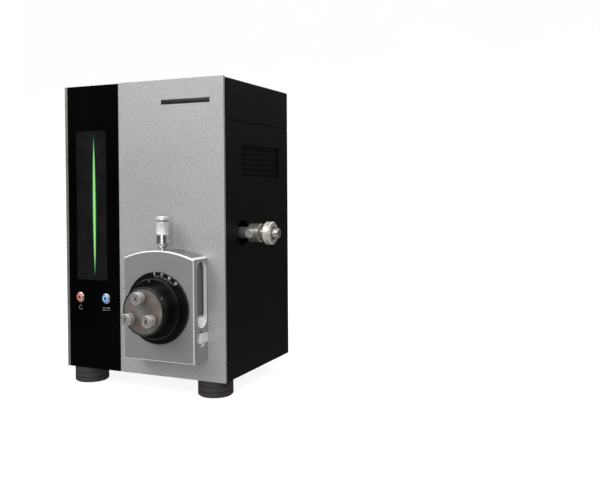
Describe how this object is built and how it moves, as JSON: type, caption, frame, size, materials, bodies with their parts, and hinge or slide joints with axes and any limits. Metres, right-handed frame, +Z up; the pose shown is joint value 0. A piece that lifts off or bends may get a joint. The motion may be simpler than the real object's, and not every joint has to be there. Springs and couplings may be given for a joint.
{
  "type": "scanning electron microscope",
  "caption": "Benchtop scanning electron microscope: column and chamber in an upright housing, with a sliding stage door, tilt dial, stage knobs and side aperture adjuster.",
  "frame": {"origin": "on the bench, under the middle of the whole envelope", "axes": "+Z up, +Y from the door towards the rear, +X to the right as seen from the front"},
  "size_m": [0.417, 0.384, 0.56],
  "materials": {
    "silver_plate": "fine bead-blasted, clear anodised",
    "trim_aluminium": "brushed, pale champagne",
    "gloss_black": "polished",
    "smoked_glass": "smoked, polished",
    "light": "lit green",
    "cover_paint": "satin black powder coat",
    "door_metal": "fine matt face with polished bevels",
    "dial_black": "satin black anodised",
    "disc_metal": "warm grey matt",
    "knob_aluminium": "turned",
    "chrome": "polished",
    "nickel": "turned, satin",
    "foot_rubber": "matt",
    "soft_rubber": "matt",
    "zinc_steel": "zinc plated",
    "lens_iron": "nickel plated iron",
    "bronze": "sintered",
    "fan_plastic": "moulded",
    "board_green": "solder mask",
    "black_plastic": "moulded"
  },
  "bodies": {
    "root": {"foot_front_left": "foot_rubber", "foot_front_right": "foot_rubber", "foot_rear_left": "foot_rubber", "foot_rear_right": "foot_rubber", "base_plate": "zinc_steel", "chassis_frame": "zinc_steel", "power_supply": "zinc_steel", "fan_guard": "zinc_steel", "guide_block": "zinc_steel", "front_panel": "silver_plate", "trim_strip": "trim_aluminium", "fascia": "gloss_black", "display_window": "smoked_glass", "light_guide": "light", "button_bezels": "chrome", "aperture_housing": "nickel", "turbo_pump": "nickel", "backing_pipe": "nickel", "side_cover_left": "cover_paint", "side_cover_right": "cover_paint", "vent_grilles": "cover_paint", "top_cover": "cover_paint", "rear_panel": "cover_paint", "high_voltage_unit": "cover_paint", "fan_frame": "fan_plastic", "power_inlet": "black_plastic", "interface_sockets": "chrome", "door_lugs": "door_metal", "chamber": "knob_aluminium", "gun_housing": "knob_aluminium", "detector": "knob_aluminium", "guide_bushes": "bronze", "isolators": "soft_rubber", "objective_lens": "lens_iron", "condenser_lens": "lens_iron", "electron_gun": "lens_iron", "control_board": "board_green"},
    "door": {"door_block": "door_metal", "door_seal": "soft_rubber", "guide_rods": "nickel"},
    "z_carriage": {"z_carriage": "dial_black"},
    "z_knob": {"z_knob": "chrome", "z_screw": "nickel"},
    "tilt_head": {"tilt_barrel": "dial_black", "tilt_hub": "nickel", "control_disc": "disc_metal", "stage_cradle": "knob_aluminium"},
    "x_slide": {"x_slide": "knob_aluminium"},
    "y_slide": {"y_slide": "knob_aluminium"},
    "rotary_table": {"rotary_table": "knob_aluminium", "specimen_stub": "nickel"},
    "x_knob": {"x_knob": "knob_aluminium"},
    "y_knob": {"y_knob": "knob_aluminium"},
    "r_knob": {"r_knob": "knob_aluminium"},
    "power_button": {"power_button": "nickel"},
    "exchange_button": {"exchange_button": "nickel"},
    "aperture_ring": {"aperture_ring": "nickel"},
    "aperture_rod": {"aperture_rod": "nickel"},
    "aperture_thumbscrew": {"aperture_thumbscrew": "nickel"},
    "fan_rotor": {"fan_rotor": "fan_plastic"}
  },
  "joints": [
    {"name": "door_slide", "type": "slide", "parent": "root", "child": "door", "axis": [0, -1, 0], "range_m": [0, 0.15]},
    {"name": "stage_z", "type": "slide", "parent": "door", "child": "z_carriage", "axis": [0, 0, 1], "range_m": [-0.012, 0]},
    {"name": "stage_tilt", "type": "hinge", "parent": "z_carriage", "child": "tilt_head", "pos_m": [0.03075, -0.082, 0.1615], "axis": [0, 1, 0], "range_deg": [0, 45]},
    {"name": "stage_x", "type": "slide", "parent": "tilt_head", "child": "x_slide", "axis": [1, 0, 0], "range_m": [-0.008, 0.008]},
    {"name": "stage_y", "type": "slide", "parent": "x_slide", "child": "y_slide", "axis": [0, 1, 0], "range_m": [-0.008, 0.008]},
    {"name": "stage_rotation", "type": "hinge", "parent": "y_slide", "child": "rotary_table", "pos_m": [0.03075, -0.014, 0.1615], "axis": [0, 0, 1], "continuous": true},
    {"name": "x_knob_turn", "type": "hinge", "parent": "tilt_head", "child": "x_knob", "pos_m": [0.03075, -0.082, 0.186], "axis": [0, 1, 0], "range_deg": [-720, 720]},
    {"name": "y_knob_turn", "type": "hinge", "parent": "tilt_head", "child": "y_knob", "pos_m": [0.00953, -0.082, 0.14925], "axis": [0, 1, 0], "range_deg": [-720, 720]},
    {"name": "r_knob_turn", "type": "hinge", "parent": "tilt_head", "child": "r_knob", "pos_m": [0.05197, -0.082, 0.14925], "axis": [0, 1, 0], "continuous": true},
    {"name": "z_knob_turn", "type": "hinge", "parent": "door", "child": "z_knob", "pos_m": [0.03075, -0.112, 0.28], "axis": [0, 0, 1], "range_deg": [-1080, 0]},
    {"name": "power_button_press", "type": "slide", "parent": "root", "child": "power_button", "axis": [0, 1, 0], "range_m": [0, 0.0015], "stiffness_N_per_m": 800, "springref_m": -0.0005},
    {"name": "exchange_button_press", "type": "slide", "parent": "root", "child": "exchange_button", "axis": [0, 1, 0], "range_m": [0, 0.0015], "stiffness_N_per_m": 800, "springref_m": -0.0005},
    {"name": "aperture_ring_turn", "type": "hinge", "parent": "root", "child": "aperture_ring", "pos_m": [0.1915, -0.014, 0.287], "axis": [1, 0, 0], "range_deg": [-360, 360]},
    {"name": "aperture_rod_travel", "type": "slide", "parent": "root", "child": "aperture_rod", "axis": [1, 0, 0], "range_m": [-0.002, 0.002]},
    {"name": "aperture_thumbscrew_turn", "type": "hinge", "parent": "root", "child": "aperture_thumbscrew", "pos_m": [0.16, -0.034, 0.287], "axis": [0, 1, 0], "range_deg": [-180, 180]},
    {"name": "fan_spin", "type": "hinge", "parent": "root", "child": "fan_rotor", "pos_m": [-0.1185, 0.164, 0.428], "axis": [0, 1, 0], "continuous": true}
  ],
  "couplings": [
    {"joint": "x_knob_turn", "follows": "stage_x", "rad_per_m": 1570.8},
    {"joint": "y_knob_turn", "follows": "stage_y", "rad_per_m": 1570.8},
    {"joint": "z_knob_turn", "follows": "stage_z", "rad_per_m": 1570.8},
    {"joint": "r_knob_turn", "follows": "stage_rotation", "ratio": 4},
    {"joint": "aperture_rod_travel", "follows": "aperture_ring_turn", "m_per_rad": 0.0003183}
  ]
}
